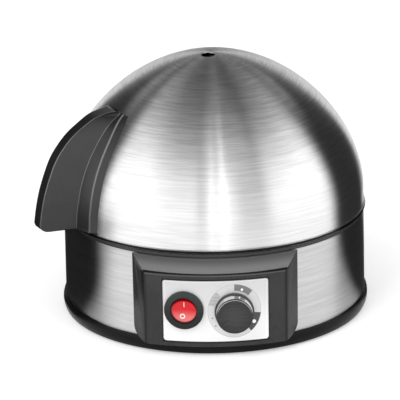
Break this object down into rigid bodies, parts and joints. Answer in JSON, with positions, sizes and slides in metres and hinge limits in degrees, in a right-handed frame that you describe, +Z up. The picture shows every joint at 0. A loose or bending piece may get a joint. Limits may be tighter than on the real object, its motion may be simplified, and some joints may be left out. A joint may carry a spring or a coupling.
{
  "type": "electric egg cooker",
  "caption": "Electric egg cooker with a steel dome lid and side grip, a steel-banded round base, a red rocker switch, a timer knob, a boiling dish and an egg tray.",
  "frame": {"origin": "on the axis of the round base, on the plane that the rubber feet stand on", "axes": "+Z up, -Y towards the user and the control panel, +X to the panel's right"},
  "size_m": [0.2008, 0.199, 0.1584],
  "materials": {
    "brushed_steel": "satin",
    "dish_steel": "satin",
    "element_steel": "matte",
    "screw_steel": "satin",
    "bright_chrome": "polished",
    "shield_aluminium": "satin",
    "silver_plate": "satin",
    "contact_brass": "satin",
    "black_plastic": "satin",
    "knob_black": "satin",
    "tray_black": "satin",
    "switch_black": "satin",
    "part_grey": "matte",
    "board_green": "matte",
    "rocker_red": "gloss",
    "foot_rubber": "matte"
  },
  "bodies": {
    "base": {"bottom_cover": "black_plastic", "feet": "foot_rubber", "steel_band": "brushed_steel", "base_housing": "black_plastic", "control_bezel": "black_plastic", "bezel_screws": "screw_steel", "panel_plate": "silver_plate", "switch_body": "switch_black", "switch_terminals": "contact_brass", "control_pot": "part_grey", "pot_nut": "screw_steel", "circuit_board": "board_green", "power_relay": "switch_black", "buzzer": "switch_black", "board_capacitor": "part_grey", "board_screws": "screw_steel", "dish_seal": "foot_rubber", "heating_dish": "dish_steel", "heating_element": "element_steel", "element_studs": "screw_steel", "element_straps": "screw_steel", "element_nuts": "screw_steel", "heat_shield": "shield_aluminium", "safety_thermostat": "contact_brass", "thermal_fuse": "part_grey", "bottom_screws": "screw_steel", "cord_bush": "foot_rubber"},
    "lid": {"lid_dome": "brushed_steel", "lid_handle": "black_plastic", "handle_screws": "screw_steel", "handle_washers": "screw_steel"},
    "tray": {"egg_tray": "tray_black"},
    "rocker": {"switch_rocker": "rocker_red"},
    "knob": {"timer_knob": "knob_black", "knob_ring": "bright_chrome", "knob_cap": "knob_black", "pot_shaft": "screw_steel"}
  },
  "joints": [
    {"name": "lid_lift", "type": "slide", "parent": "base", "child": "lid", "axis": [0, 0, 1], "range_m": [0, 0.2]},
    {"name": "tray_lift", "type": "slide", "parent": "base", "child": "tray", "axis": [0, 0, 1], "range_m": [0, 0.03]},
    {"name": "rocker_tilt", "type": "hinge", "parent": "base", "child": "rocker", "pos_m": [-0.01842, -0.09412, 0.0292], "axis": [-0.9871, 0.16, 0], "range_deg": [0, 18]},
    {"name": "timer_turn", "type": "hinge", "parent": "base", "child": "knob", "pos_m": [0.0109, -0.0958, 0.0283], "axis": [0, 1, 0], "range_deg": [0, 270]}
  ]
}
